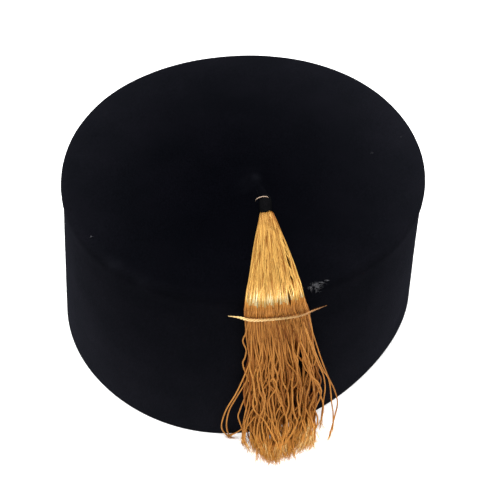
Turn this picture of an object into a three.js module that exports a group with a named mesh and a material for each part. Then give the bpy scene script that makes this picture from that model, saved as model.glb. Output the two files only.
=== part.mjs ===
// Fez hat: a low felt crown, open below, with a gold tassel that lies over the top,
// bends at the rim and hangs down the front. Millimetres, +Z up, front towards -Y.
import * as THREE from 'three';

// ---- Driving dimensions ----
const HEIGHT = 93.6;
const FELT = 2.5;
const BASE_RADIUS_X = 94.3;
const BASE_RADIUS_Y = 95.1;
const TOP_RADIUS = 89.7;
const LEAN = new THREE.Vector2(5.2, 0.1);
const RIM_ROUNDING = 3.5;
const RIM_DEPTH = 5;
const RIM_OVERHANG = 0.9;
const TOP_SAG = 0.8;
const HEM_ROUNDING = 0.6;
const INNER_ROUNDING = 3.5;
// What a thread keeps free between itself and the piece that it lies on.
const GAP = 0.4;

// Soft dents: each row swells the outline by a few lobes, towards a bearing in degrees.
const DENTS = [
  { lobes: 2, baseSwell: 1.2, baseBearing: 45, topSwell: 0.3, topBearing: 45 },
  { lobes: 3, baseSwell: 1.7, baseBearing: 9, topSwell: 0.2, topBearing: -21 },
  { lobes: 4, baseSwell: 1.1, baseBearing: 8.5, topSwell: 0.65, topBearing: -38 },
];

// Rings of the flat top, by how far each lies inside the rim, from the middle outwards.
const TOP_INSETS = [86.7, 68, 45, 24, 10];
const RIM_STEPS = 4;

// Rings of the wall between hem and rim: how high each is, and how much of the step in
// under the rim it has, both as parts of the whole.
const WALL_RINGS = [
  { high: 0.12, stepped: 0 },
  { high: 0.4, stepped: 0.4 },
  { high: 0.75, stepped: 0.8 },
];

const CROWN_SIDES = 96;
const SKIRT_SIDES = 24;
const TUBE_SIDES = 10;

// ---- Solids from rings ----

// Joins rings of points into one closed body. Each ring turns by the right hand about
// the direction of travel, and both ends close on the middle of their ring.
function loft(rings) {
  const sides = rings[0].length;
  const positions = rings.flat().flatMap((p) => [p.x, p.y, p.z]);
  const index = [];
  const addMiddle = (ring) => {
    const middle = new THREE.Vector3();
    ring.forEach((p) => middle.addScaledVector(p, 1 / sides));
    positions.push(middle.x, middle.y, middle.z);
    return positions.length / 3 - 1;
  };
  for (let i = 0; i < rings.length - 1; i += 1) {
    for (let j = 0; j < sides; j += 1) {
      const next = (j + 1) % sides;
      const a = i * sides + j;
      const b = i * sides + next;
      const c = (i + 1) * sides + next;
      const d = (i + 1) * sides + j;
      index.push(a, b, c, a, c, d);
    }
  }
  const start = addMiddle(rings[0]);
  const end = addMiddle(rings[rings.length - 1]);
  const last = (rings.length - 1) * sides;
  for (let j = 0; j < sides; j += 1) {
    const next = (j + 1) % sides;
    index.push(start, next, j, end, last + j, last + next);
  }
  const geometry = new THREE.BufferGeometry();
  geometry.setAttribute('position', new THREE.Float32BufferAttribute(positions, 3));
  geometry.setIndex(index);
  geometry.computeVertexNormals();
  return geometry;
}

// A round tube along a curve, with a radius for each step.
function tube(points, radii) {
  const curve = new THREE.CatmullRomCurve3(points);
  const steps = radii.length - 1;
  const frames = curve.computeFrenetFrames(steps);
  return loft(radii.map((radius, i) => {
    const middle = curve.getPointAt(i / steps);
    return Array.from({ length: TUBE_SIDES }, (_, j) => {
      const turn = (2 * Math.PI * j) / TUBE_SIDES;
      return middle.clone()
        .addScaledVector(frames.normals[i], radius * Math.cos(turn))
        .addScaledVector(frames.binormals[i], radius * Math.sin(turn));
    });
  }));
}

function piece(name, geometry, color, roughness, metalness = 0) {
  const material = new THREE.MeshStandardMaterial({ color, roughness, metalness });
  const mesh = new THREE.Mesh(geometry, material);
  mesh.name = name;
  return mesh;
}

// ---- Outline of the felt ----

function swell(angle, end) {
  return DENTS.reduce((sum, dent) => {
    const bearing = THREE.MathUtils.degToRad(dent[`${end}Bearing`]);
    return sum + dent[`${end}Swell`] * Math.cos(dent.lobes * (angle - bearing));
  }, 0);
}

// A point of the side wall, or inside it by the inset. The middle moves with the lean.
function outline(angle, height, inset = 0) {
  const part = height / HEIGHT;
  const baseSwell = swell(angle, 'base');
  const topSwell = swell(angle, 'top');
  const radiusX = THREE.MathUtils.lerp(BASE_RADIUS_X + baseSwell, TOP_RADIUS + topSwell, part);
  const radiusY = THREE.MathUtils.lerp(BASE_RADIUS_Y + baseSwell, TOP_RADIUS + topSwell, part);
  return new THREE.Vector3(
    LEAN.x * part + (radiusX - inset) * Math.cos(angle),
    LEAN.y * part + (radiusY - inset) * Math.sin(angle),
    height,
  );
}

// Where the front of the wall is, at a height and a distance to the side.
function wallFront(x, height) {
  const part = height / HEIGHT;
  const radius = THREE.MathUtils.lerp(BASE_RADIUS_Y, TOP_RADIUS, part);
  const side = Math.asin((x - LEAN.x * part) / radius);
  return outline(side - Math.PI / 2, height).y;
}

// ---- Crown: side wall and top in one felt ----

function makeCrown() {
  const underRim = HEIGHT - RIM_DEPTH - RIM_ROUNDING;
  const underTop = HEIGHT - FELT;
  const sagAt = (inset) => TOP_SAG * (inset / TOP_RADIUS) ** 0.5;
  const wallRing = ({ high, stepped }, extra) => (
    { height: underRim * high, inset: RIM_OVERHANG * stepped + extra }
  );
  const sections = TOP_INSETS.map((inset) => ({ height: HEIGHT - sagAt(inset), inset }));
  for (let step = RIM_STEPS; step >= 0; step -= 1) {
    const angle = (Math.PI / 2) * (step / RIM_STEPS);
    sections.push({
      height: HEIGHT - RIM_ROUNDING * (1 - Math.sin(angle)),
      inset: RIM_ROUNDING * (1 - Math.cos(angle)),
    });
  }
  sections.push(
    { height: HEIGHT - RIM_DEPTH, inset: RIM_OVERHANG / 4 },
    { height: underRim, inset: RIM_OVERHANG },
    ...WALL_RINGS.map((ring) => wallRing(ring, 0)).reverse(),
    { height: HEM_ROUNDING, inset: 0 },
    { height: 0, inset: HEM_ROUNDING },
    { height: 0, inset: FELT - HEM_ROUNDING },
    { height: HEM_ROUNDING, inset: FELT },
    ...WALL_RINGS.map((ring) => wallRing(ring, FELT)),
    { height: underRim, inset: FELT + RIM_OVERHANG },
    { height: underTop - INNER_ROUNDING / 2, inset: FELT + INNER_ROUNDING / 2 },
    { height: underTop - sagAt(FELT + INNER_ROUNDING), inset: FELT + INNER_ROUNDING },
    ...TOP_INSETS.map((inset) => ({ height: underTop - sagAt(inset), inset })).reverse(),
  );
  return loft(sections.map(({ height, inset }) => Array.from(
    { length: CROWN_SIDES },
    (_, j) => outline((-2 * Math.PI * j) / CROWN_SIDES, height, inset),
  )));
}

// ---- Tassel ----

const NECK = { x: 15.6, start: -30.9, end: -41.5, radius: 2.85 };
const NECK_Z = HEIGHT + GAP + NECK.radius;
const NECK_RADII = [2.2, NECK.radius, NECK.radius, NECK.radius, NECK.radius, 2.5];

// Short felt cord: rises from the top and runs into the neck. Heights are above the top.
const STEM_ROUTE = [
  { x: 10.6, y: -9.5, up: 1.4 },
  { x: 11.2, y: -13.5, up: 2.4 },
  { x: 13.2, y: -21, up: 2.3 },
  { x: 14.9, y: NECK.start + GAP, up: GAP + NECK.radius - 0.4 },
];
const STEM_RADII = [0.7, 1.2, 1.5, 1.6, 1.6, 1.6, 1.6, 1.7, 1.7];

function makeStem() {
  return tube(STEM_ROUTE.map(({ x, y, up }) => new THREE.Vector3(x, y, HEIGHT + up)), STEM_RADII);
}

function makeNeck() {
  return tube([NECK.start, NECK.end].map((y) => new THREE.Vector3(NECK.x, y, NECK_Z)), NECK_RADII);
}

// Thin thread over the neck, down to the felt on both sides. Heights are above the
// middle of the neck.
const LOOP_THREAD = 0.35;
const LOOP_FOOT = LOOP_THREAD - NECK.radius;
const LOOP_STEPS = 16;
const LOOP_ROUTE = [
  { x: 11.0, y: -30.6, up: LOOP_FOOT },
  { x: 11.9, y: -32.4, up: 2.0 },
  { x: 15.1, y: -33.2, up: NECK.radius + 0.8 },
  { x: 18.4, y: -32.0, up: 2.0 },
  { x: 19.5, y: -30.4, up: LOOP_FOOT },
];

function makeNeckLoop() {
  const route = LOOP_ROUTE.map(({ x, y, up }) => new THREE.Vector3(x, y, NECK_Z + up));
  return tube(route, Array(LOOP_STEPS + 1).fill(LOOP_THREAD));
}

// Outer form of the hanging strands. Each row is one section: y and z place its inner
// face, lean turns that face from the top (0) to the wall (90), and wrap bends it
// round the crown. Rows on the wall give how far they stand off it instead of y.
const SKIRT = [
  { y: -41.9, z: HEIGHT + GAP, lean: 0, left: 12.9, right: 18.9, thick: 4.6, wrap: 0 },
  { y: -46, z: HEIGHT + GAP, lean: 0, left: 12.1, right: 20.7, thick: 4.1, wrap: 0 },
  { y: -52, z: HEIGHT + GAP, lean: 0, left: 11.1, right: 22.4, thick: 3.8, wrap: 0.1 },
  { y: -61, z: HEIGHT + GAP, lean: 0, left: 9.8, right: 24.7, thick: 3.3, wrap: 0.3 },
  { y: -71, z: HEIGHT + GAP, lean: 0, left: 8.4, right: 27.0, thick: 3.0, wrap: 0.6 },
  { y: -80, z: HEIGHT + GAP, lean: 0, left: 7.2, right: 28.8, thick: 2.8, wrap: 0.9 },
  { y: -85.4, z: HEIGHT + GAP, lean: 0, left: 6.4, right: 30.0, thick: 2.8, wrap: 1 },
  { y: -87.6, z: HEIGHT - 0.1, lean: 30, left: 6.0, right: 30.6, thick: 2.8, wrap: 1 },
  { y: -89.0, z: HEIGHT - 1.5, lean: 60, left: 5.6, right: 31.2, thick: 2.9, wrap: 1 },
  { standOff: 0.5, z: HEIGHT - 4, lean: 90, left: 5.2, right: 31.8, thick: 3.0, wrap: 1 },
  { standOff: 0.5, z: 80, lean: 90, left: 5.0, right: 33.0, thick: 3.3, wrap: 1 },
  { standOff: 0.8, z: 62, lean: 90, left: 4.6, right: 36.5, thick: 4.2, wrap: 1 },
  { standOff: 1.2, z: 42, lean: 90, left: 3.0, right: 40.3, thick: 5.5, wrap: 1 },
  { standOff: 1.6, z: 24, lean: 88, left: -0.5, right: 43.5, thick: 6.5, wrap: 1 },
  { standOff: 2.0, z: 12, lean: 80, left: -2.5, right: 44, thick: 7.5, wrap: 1 },
  { y: -98.5, z: 3.6, lean: 50, left: -2, right: 42.5, thick: 7.5, wrap: 0.9 },
  { y: -103, z: 0.5, lean: 18, left: 0.5, right: 40, thick: 5, wrap: 0.7 },
  { y: -109, z: 0.3, lean: 0, left: 5, right: 36, thick: 2.8, wrap: 0.5 },
  { y: -115, z: 0.3, lean: 0, left: 10.5, right: 29.5, thick: 1.4, wrap: 0.2 },
];

// How square a section is: 1 would be an ellipse, and 0 a box.
const SKIRT_ROUNDNESS = { across: 0.7, through: 0.6 };

function skirtRing({ y, standOff, z, lean, left, right, thick, wrap }) {
  const middle = (left + right) / 2;
  const height = Math.min(z, HEIGHT);
  const faceY = y ?? wallFront(middle, height) - standOff;
  const angle = THREE.MathUtils.degToRad(lean);
  const flatten = (value, power) => Math.sign(value) * Math.abs(value) ** power;
  return Array.from({ length: SKIRT_SIDES }, (_, j) => {
    const turn = (2 * Math.PI * (j + 0.5)) / SKIRT_SIDES;
    const across = flatten(Math.cos(turn), SKIRT_ROUNDNESS.across);
    const x = middle + ((right - left) / 2) * across;
    const out = (thick / 2) * (1 + flatten(Math.sin(turn), SKIRT_ROUNDNESS.through));
    const bend = wrap * (wallFront(x, height) - wallFront(middle, height));
    return new THREE.Vector3(x, faceY + bend - out * Math.sin(angle), z + out * Math.cos(angle));
  });
}

// Thread across the front of the tassel, sewn into the felt at both sides. It comes off
// the wall, crosses the face of the skirt and goes back to the wall.
const STAY_THREAD = 0.6;
const STAY_STEPS = 24;
const ON_WALL = GAP + STAY_THREAD;
const SKIRT_FACE_AT_STAY = 3.9;
const ON_SKIRT = SKIRT_FACE_AT_STAY + GAP + STAY_THREAD;
const STAY_ROUTE = [
  { x: -2.3, z: 83.6, off: ON_WALL },
  { x: 2.4, z: 84.3, off: ON_WALL + 1.6 },
  { x: 9.0, z: 84.9, off: ON_SKIRT },
  { x: 19.0, z: 84.4, off: ON_SKIRT },
  { x: 29.0, z: 83.3, off: ON_SKIRT },
  { x: 36.0, z: 81.9, off: ON_WALL + 1.8 },
  { x: 42.4, z: 79.9, off: ON_WALL },
];
const STAY_TIP = { width: 0.45, steps: 4 };

function makeStay() {
  const points = STAY_ROUTE.map(({ x, z, off }) => new THREE.Vector3(x, wallFront(x, z) - off, z));
  const radii = Array.from({ length: STAY_STEPS + 1 }, (_, i) => {
    const full = Math.min(1, Math.min(i, STAY_STEPS - i) / STAY_TIP.steps);
    return STAY_THREAD * THREE.MathUtils.lerp(STAY_TIP.width, 1, full);
  });
  return tube(points, radii);
}

// ---- The hat, with the middle of its footprint at the origin ----
const FELT_BLACK = 0x0c0c10;
const WOUND_BLACK = 0x101014;
const LOOP_GOLD = 0xc79a72;
const YARN_GOLD = 0xb98a45;

const hat = new THREE.Group();
hat.add(
  piece('crown', makeCrown(), FELT_BLACK, 0.95),
  piece('crown_stem', makeStem(), FELT_BLACK, 0.95),
  piece('tassel_neck', makeNeck(), WOUND_BLACK, 0.7),
  piece('neck_loop', makeNeckLoop(), LOOP_GOLD, 0.5),
  piece('tassel_skirt', loft(SKIRT.map(skirtRing)), YARN_GOLD, 0.5),
  piece('tassel_stay', makeStay(), YARN_GOLD, 0.5),
);
const footprint = new THREE.Box3().setFromObject(hat);
const middle = footprint.getCenter(new THREE.Vector3());
hat.position.set(-middle.x, -middle.y, -footprint.min.z);

export default hat;
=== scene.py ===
# %% [markdown]
# # A black felt fez with a gold tassel
#
# The hat is one shell of stiff felt, open below, with a tassel tied to its top. This
# lesson builds the looks around a fixed frame: the frame says how big every part is and
# where it goes, and each cell adds one piece or one finish. Sizes are written in
# millimetres and turned into Blender's metres by MM.

import math
import random

import bmesh
import bpy
import numpy as np
from mathutils import Matrix, Quaternion, Vector, noise


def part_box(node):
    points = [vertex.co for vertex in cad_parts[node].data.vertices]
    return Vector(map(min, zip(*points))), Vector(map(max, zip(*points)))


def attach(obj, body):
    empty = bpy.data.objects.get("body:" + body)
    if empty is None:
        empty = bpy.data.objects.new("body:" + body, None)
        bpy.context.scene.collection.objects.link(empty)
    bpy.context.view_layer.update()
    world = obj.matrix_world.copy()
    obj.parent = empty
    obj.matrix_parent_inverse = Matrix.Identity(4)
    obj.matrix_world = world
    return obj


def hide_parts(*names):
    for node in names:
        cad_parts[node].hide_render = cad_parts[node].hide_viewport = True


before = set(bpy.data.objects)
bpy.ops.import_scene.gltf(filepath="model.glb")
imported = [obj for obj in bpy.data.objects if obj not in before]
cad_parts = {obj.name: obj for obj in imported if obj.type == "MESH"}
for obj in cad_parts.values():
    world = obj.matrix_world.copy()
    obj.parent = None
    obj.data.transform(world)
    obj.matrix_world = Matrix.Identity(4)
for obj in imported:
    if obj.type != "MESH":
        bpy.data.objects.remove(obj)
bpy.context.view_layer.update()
MM = 0.001

# %% [markdown]
# ## Camera
#
# The camera comes first, because every later choice is judged through it. It looks down
# on the hat from the front with a fairly long lens, so the top shows as a wide oval and
# the side wall narrows gently towards the table. A small roll tips the horizon.

# %% Camera
LOOK_AT = Vector((6.2, 9.75, 30.0)) * MM
CAMERA_DISTANCE = 538.2 * MM
CAMERA_ELEVATION = math.radians(46.65)
CAMERA_ROLL = math.radians(-0.95)
CAMERA_LENS = 72.2

camera_data = bpy.data.cameras.new("camera")
camera_data.lens = CAMERA_LENS
camera_data.sensor_width = 36
camera_data.clip_start = 0.01
camera = bpy.data.objects.new("camera", camera_data)
bpy.context.scene.collection.objects.link(camera)
back = Vector((0, -math.cos(CAMERA_ELEVATION), math.sin(CAMERA_ELEVATION)))
camera.location = LOOK_AT + back * CAMERA_DISTANCE
camera.rotation_mode = "QUATERNION"
camera.rotation_quaternion = (-back).to_track_quat("-Z", "Y") @ Quaternion((0, 0, 1), CAMERA_ROLL)
bpy.context.scene.camera = camera
print("camera", [round(x, 3) for x in camera.location])

# %% [markdown]
# ## Light and floor
#
# Black felt needs large soft lights: its shape is told by a faint sheen, and a small lamp
# would only make a spot. Most of the light comes from above, so the top of the tassel is
# bright and the part that hangs down the wall is darker. Two tall lights behind the hat
# brighten the nap along its sides. The floor is plain and pale.

# %% Light and floor
FLOOR_SIZE = 12.0
FLOOR_GLOW = 0.36
WORLD_STRENGTH = 0.40
LIGHTS_AIM = Vector((0, 0, 0.05))
LIGHTS = [
    {"name": "overhead", "place": (0.0, 0.05, 1.5), "width": 0.55, "height": 1.0, "power": 35},
    {"name": "side_left", "place": (-1.1, 0.55, 0.55), "width": 0.6, "height": 0.9, "power": 6},
    {"name": "side_right", "place": (1.1, 0.55, 0.55), "width": 0.6, "height": 0.9, "power": 6},
]


def area_light(name, place, width, height, power):
    data = bpy.data.lights.new(name, "AREA")
    data.shape = "RECTANGLE"
    data.size = width
    data.size_y = height
    data.energy = power
    light = bpy.data.objects.new(name, data)
    bpy.context.scene.collection.objects.link(light)
    light.location = place
    light.rotation_mode = "QUATERNION"
    light.rotation_quaternion = (LIGHTS_AIM - Vector(place)).to_track_quat("-Z", "Y")


for row in LIGHTS:
    area_light(**row)
print("lights", [row["name"] for row in LIGHTS])

world = bpy.data.worlds.new("studio")
world.use_nodes = True
world.node_tree.nodes["Background"].inputs["Color"].default_value = (1, 1, 1, 1)
world.node_tree.nodes["Background"].inputs["Strength"].default_value = WORLD_STRENGTH
bpy.context.scene.world = world
bpy.context.scene.view_settings.view_transform = "Standard"

floor_mesh = bmesh.new()
bmesh.ops.create_grid(floor_mesh, x_segments=1, y_segments=1, size=FLOOR_SIZE / 2)
floor_data = bpy.data.meshes.new("floor")
floor_mesh.to_mesh(floor_data)
floor_mesh.free()
floor = bpy.data.objects.new("floor", floor_data)
bpy.context.scene.collection.objects.link(floor)


# %% [markdown]
# ## Materials
#
# A small helper starts each finish from one Principled shader, and other helpers add a
# noise, a colour ramp or a bump. Numbers that are the same all over, such as the sheen of
# the felt, go straight onto the shader's own sockets.

# %% Material helpers
def new_material(name, roughness, **sockets):
    material = bpy.data.materials.new(name)
    material.use_nodes = True
    shader = material.node_tree.nodes["Principled BSDF"]
    shader.inputs["Roughness"].default_value = roughness
    for socket, value in sockets.items():
        shader.inputs[socket.replace("_", " ")].default_value = value
    return material, material.node_tree, shader


def add_node(tree, kind, **inputs):
    node = tree.nodes.new(kind)
    for socket, value in inputs.items():
        node.inputs[socket.replace("_", " ")].default_value = value
    return node


def add_noise(tree, coordinates, scale, detail=3.0, rough=0.55):
    node = add_node(tree, "ShaderNodeTexNoise", Scale=scale, Detail=detail, Roughness=rough)
    tree.links.new(coordinates, node.inputs["Vector"])
    return node.outputs["Fac"]


def add_ramp(tree, factor, stops):
    ramp = tree.nodes.new("ShaderNodeValToRGB")
    elements = ramp.color_ramp.elements
    while len(elements) < len(stops):
        elements.new(0.5)
    for element, (place, colour) in zip(elements, stops):
        element.position = place
        element.color = (*colour, 1)
    tree.links.new(factor, ramp.inputs["Fac"])
    return ramp.outputs["Color"]


def add_mix(tree, factor, first, second, blend="MIX"):
    node = tree.nodes.new("ShaderNodeMix")
    node.data_type = "RGBA"
    node.blend_type = blend
    for socket, value in (("Factor", factor), ("A", first), ("B", second)):
        target = next(entry for entry in node.inputs if entry.name == socket and entry.enabled)
        if isinstance(value, bpy.types.NodeSocket):
            tree.links.new(value, target)
        elif socket == "Factor":
            target.default_value = value
        else:
            target.default_value = (*value, 1)
    return next(entry for entry in node.outputs if entry.enabled)


def add_bump(tree, shader, height, strength, distance, normal=None):
    bump = add_node(tree, "ShaderNodeBump", Strength=strength, Distance=distance)
    tree.links.new(height, bump.inputs["Height"])
    if normal is not None:
        tree.links.new(normal, bump.inputs["Normal"])
    tree.links.new(bump.outputs["Normal"], shader.inputs["Normal"])
    return bump.outputs["Normal"]


floor_material, _, floor_shader = new_material("pale_floor", 0.9)
floor_shader.inputs["Base Color"].default_value = (0.93, 0.93, 0.93, 1)
floor_shader.inputs["Emission Color"].default_value = (1, 1, 1, 1)
floor_shader.inputs["Emission Strength"].default_value = FLOOR_GLOW
floor_data.materials.append(floor_material)

# %% [markdown]
# ## From a mesh to a piece
#
# Every piece ends in the same way: its faces are shaded smooth, it takes its materials,
# and it is tied to the hat, so that it moves with it. A piece also hides the parts of the
# frame that it stands for.

# %% From a mesh to a piece
def finish_piece(name, mesh, materials, nodes=()):
    """A mesh in the frame's metres becomes a piece that rides on the hat."""
    for face in mesh.polygons:
        face.use_smooth = True
    for material in materials:
        mesh.materials.append(material)
    piece = bpy.data.objects.new(name, mesh)
    bpy.context.scene.collection.objects.link(piece)
    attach(piece, "root")
    if nodes:
        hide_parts(*nodes)
    triangles = sum(len(face.vertices) - 2 for face in mesh.polygons)
    print(name, triangles, "triangles")


# %% [markdown]
# ## The outline of the felt
#
# A real felt crown is never a perfect drum: it leans, and its outline swells and dents a
# little. One function gives every point of the wall, so the crown and everything that
# lies on it agree. The table holds the soft dents, one row for each number of lobes.

# %% Outline of the felt
HEIGHT = (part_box("crown")[1].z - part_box("crown")[0].z) / MM
FELT = 2.5
BASE_RADIUS_X = 94.3
BASE_RADIUS_Y = 95.1
TOP_RADIUS = 89.7
LEAN_X = 5.2
LEAN_Y = 0.1
RIM_ROUNDING = 3.5
RIM_DEPTH = 9.0
RIM_OVERHANG = 0.9
TOP_SAG = 0.8
HEM_ROUNDING = 0.6
HEM_CORNER = 0.18
DENTS = [
    {"lobes": 2, "base": 1.2, "base_bearing": 45, "top": 0.3, "top_bearing": 45},
    {"lobes": 3, "base": 1.7, "base_bearing": 9, "top": 0.2, "top_bearing": -21},
    {"lobes": 4, "base": 1.1, "base_bearing": 8.5, "top": 0.65, "top_bearing": -38},
]


def swell(angle, end):
    total = 0
    for dent in DENTS:
        bearing = math.radians(dent[end + "_bearing"])
        total += dent[end] * math.cos(dent["lobes"] * (angle - bearing))
    return total


def mix(first, second, part):
    return first + (second - first) * part


def ease(value):
    value = min(1, max(0, value))
    return value * value * (3 - 2 * value)


def outline(angle, height, inset=0.0):
    part = height / HEIGHT
    top = TOP_RADIUS + swell(angle, "top")
    swollen = swell(angle, "base")
    radius_x = mix(BASE_RADIUS_X + swollen, top, part) - inset
    radius_y = mix(BASE_RADIUS_Y + swollen, top, part) - inset
    return Vector((
        LEAN_X * part + radius_x * math.cos(angle),
        LEAN_Y * part + radius_y * math.sin(angle),
        height,
    ))


def wall_front(x, height):
    height = min(max(height, 0), HEIGHT)
    part = height / HEIGHT
    radius = mix(BASE_RADIUS_Y, TOP_RADIUS, part)
    side = math.asin((x - LEAN_X * part) / radius)
    return outline(side - math.pi / 2, height).y


print("felt wall", round(HEIGHT, 1), "mm high, base", BASE_RADIUS_X, "and top", TOP_RADIUS, "mm in radius")

# %% [markdown]
# ## Felt crown
#
# The crown is blocked from one piece of felt, so it is made as one closed wall: a profile
# that runs out over the top, round the rim, down to the hem and back up inside. Spinning
# that profile gives a true drum, and moving each vertex to the outline above gives it its
# lean and dents. A faint noise keeps the flat top from looking machined, and a soft pucker
# lifts it where the tassel is sewn on.

# %% Felt crown
CROWN_STEPS = 224
TOP_RING = 2.0
WALL_RING = 3.0
INSIDE_RING = 6.0
UNDERSIDE_RING = 9.0
RIM_SEGMENTS = 10
RIM_STEPS = 6
TOP_BAND = 2.0
FOOT_BAND = 4.0
UNEVEN = [(22, 0.22), (7, 0.06)]
UNEVEN_ON_WALL = 0.7
PUCKER_START = Vector((10.5, -13, 0))
PUCKER_ALONG = Vector((4.5, -18, 0))
PUCKER_HEIGHT = 4.2
PUCKER_REACH = 6.5


def sag_at(inset):
    return TOP_SAG * (max(inset, 0) / TOP_RADIUS) ** 0.5


def spaced(start, stop, gap):
    count = max(2, round(abs(stop - start) / gap))
    return [mix(start, stop, i / count) for i in range(count)]


def crown_profile():
    """(inset, height) pairs from the middle of the top to the middle of its underside."""
    under_rim = HEIGHT - RIM_DEPTH - RIM_ROUNDING
    rows = [(inset, HEIGHT - sag_at(inset)) for inset in spaced(TOP_RADIUS, RIM_ROUNDING, TOP_RING)]
    for i in range(RIM_SEGMENTS + 1):
        turn = math.radians(90 * (1 - i / RIM_SEGMENTS))
        rows.append((
            RIM_ROUNDING * (1 - math.cos(turn)),
            HEIGHT - RIM_ROUNDING * (1 - math.sin(turn)) - sag_at(RIM_ROUNDING) * math.sin(turn),
        ))
    for i in range(1, RIM_STEPS + 1):
        part = i / RIM_STEPS
        rows.append((RIM_OVERHANG * ease(part), mix(HEIGHT - RIM_ROUNDING, under_rim, part)))
    for height in spaced(under_rim - WALL_RING, HEM_ROUNDING, WALL_RING):
        rows.append((RIM_OVERHANG * height / under_rim, height))
    rows += [(0.0, HEM_ROUNDING), (HEM_CORNER, HEM_CORNER), (HEM_ROUNDING, 0.0)]
    rows += [(FELT - HEM_ROUNDING, 0.0), (FELT - HEM_CORNER, HEM_CORNER), (FELT, HEM_ROUNDING)]
    inside_top = HEIGHT - FELT
    for height in spaced(INSIDE_RING, inside_top - 4, INSIDE_RING):
        rows.append((FELT + RIM_OVERHANG * min(1, height / under_rim), height))
    rows += [(FELT + 1.0, inside_top - 2.5), (FELT + 2.2, inside_top - 1.0 - sag_at(INSIDE_RING))]
    for inset in spaced(FELT + 5, TOP_RADIUS, UNDERSIDE_RING):
        rows.append((inset, inside_top - sag_at(inset)))
    rows.append((TOP_RADIUS, inside_top - TOP_SAG))
    return rows


def nominal_radius(height):
    return mix(BASE_RADIUS_X, TOP_RADIUS, height / HEIGHT)


def pucker_at(place):
    """The felt is drawn up a little where the tassel's cord is sewn through it."""
    from_start = Vector((place.x, place.y, 0)) - PUCKER_START
    part = min(1, max(0, from_start.dot(PUCKER_ALONG) / PUCKER_ALONG.length_squared))
    away = (from_start - PUCKER_ALONG * part).length
    return PUCKER_HEIGHT * math.exp(-((away / PUCKER_REACH) ** 2)) * (1 - 0.5 * part)


def make_crown():
    shell = bmesh.new()
    corners = []
    for inset, height in crown_profile():
        radius = max(0.0, nominal_radius(height) - inset)
        if inset >= TOP_RADIUS:
            radius = 0.0
        corners.append(shell.verts.new((radius, 0, height)))
    edges = [shell.edges.new(pair) for pair in zip(corners, corners[1:])]
    bmesh.ops.spin(
        shell,
        geom=corners + edges,
        cent=(0, 0, 0),
        axis=(0, 0, 1),
        angle=2 * math.pi,
        steps=CROWN_STEPS,
        use_merge=True,
    )
    bmesh.ops.remove_doubles(shell, verts=shell.verts, dist=0.001)
    for vert in shell.verts:
        angle = math.atan2(vert.co.y, vert.co.x)
        inset = nominal_radius(vert.co.z) - math.hypot(vert.co.x, vert.co.y)
        vert.co = outline(angle, vert.co.z, inset)
        uneven = sum(size * noise.noise(vert.co / length) for length, size in UNEVEN)
        if vert.co.z > HEIGHT - TOP_BAND and inset > RIM_ROUNDING:
            vert.co.z += uneven + pucker_at(vert.co)
        elif vert.co.z > FOOT_BAND:
            outward = Vector((math.cos(angle), math.sin(angle), 0))
            vert.co += outward * uneven * UNEVEN_ON_WALL
    bmesh.ops.recalc_face_normals(shell, faces=shell.faces)
    return shell


crown_shell = make_crown()
places = np.array([vert.co for vert in crown_shell.verts])
made_middle = (places.min(0) + places.max(0)) / 2
frame_middle = np.array((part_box("crown")[0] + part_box("crown")[1]) / 2) / MM
SHIFT = Vector((frame_middle[0] - made_middle[0], frame_middle[1] - made_middle[1], 0))
TO_FRAME = Matrix.Scale(MM, 4) @ Matrix.Translation(SHIFT)
print("hat axis to frame", [round(x, 2) for x in SHIFT], "mm")

# %% [markdown]
# ## Marks and painted light on the felt
#
# Where a felt hat is picked up and brushed, the nap wears pale. Each row of the table is
# one worn or dusty place: its middle, its reach, and how strong it is. The two rows on the
# pucker are no wear but a painted highlight on its lit slope. Light and shade over the
# whole hat are painted as well, darkest around the tassel on the top and palest towards
# the sides, the back and the foot, so two rules give that painted brightness and meet at
# the rim. Both are stored on the vertices as attributes, so the finish can read them
# anywhere.

# %% Marks and painted light on the felt
MARKS_AND_HIGHLIGHTS = [
    {"x": -53, "y": -68, "z": 91.5, "reach": 3.5, "strength": 0.34},
    {"x": -40, "y": -78, "z": 91, "reach": 3.2, "strength": 0.24},
    # The next two rows are a painted highlight on the lit slope of the pucker, not wear.
    {"x": 11.8, "y": -16.4, "z": 97, "reach": 2.8, "strength": 0.36},
    {"x": 7, "y": -18.5, "z": 95, "reach": 4.5, "strength": 0.15},
]
# Painted shade on the top is darkest round this middle and lightens towards the rim.
DARK_MIDDLE_X = 0.0
DARK_MIDDLE_Y = -35.0
DARK_REACH = 130.0
DARK_SQUEEZE = 1.48
PAINTED_LIGHT_AT_DARKEST = 0.09
PAINTED_LIGHT_TOWARDS_RIM = 0.39
PAINTED_LIGHT_ON_WALL = 0.365
PAINTED_SHEEN_AT_SIDES = 0.24
PAINTED_LIGHT_AT_FOOT = 0.42
PAINTED_LIGHT_AT_BACK = 0.2
RIM_TURN = HEIGHT - 1.6
BLEND_ON_WALL = 6.0
BLEND_ON_TOP = 5.0


def painted_light_on_top(place):
    across = (place.x - DARK_MIDDLE_X) * DARK_SQUEEZE
    away = (across ** 2 + (place.y - DARK_MIDDLE_Y) ** 2) / DARK_REACH ** 2
    return PAINTED_LIGHT_AT_DARKEST + PAINTED_LIGHT_TOWARDS_RIM * away ** 1.2


def painted_light_on_wall(place):
    """Painted sheen and light grow towards the sides of the hat, towards its foot and towards its back."""
    sideways = min(2.2, ((place.x - LEAN_X) / 70) ** 4)
    foot = (1 - place.z / HEIGHT) ** 2
    back = PAINTED_LIGHT_AT_BACK * ease(place.y / 60)
    return PAINTED_LIGHT_ON_WALL + PAINTED_SHEEN_AT_SIDES * sideways + PAINTED_LIGHT_AT_FOOT * foot + back


def painted_light_at(place):
    """The two rules meet over a band that runs from the wall over the rim to the top."""
    inside = TOP_RADIUS - math.hypot(place.x - LEAN_X, place.y - LEAN_Y)
    past_rim = max(0, inside) if place.z > RIM_TURN else place.z - RIM_TURN
    part = ease((past_rim + BLEND_ON_WALL) / (BLEND_ON_WALL + BLEND_ON_TOP))
    return min(1, mix(painted_light_on_wall(place), painted_light_on_top(place), part))


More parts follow.
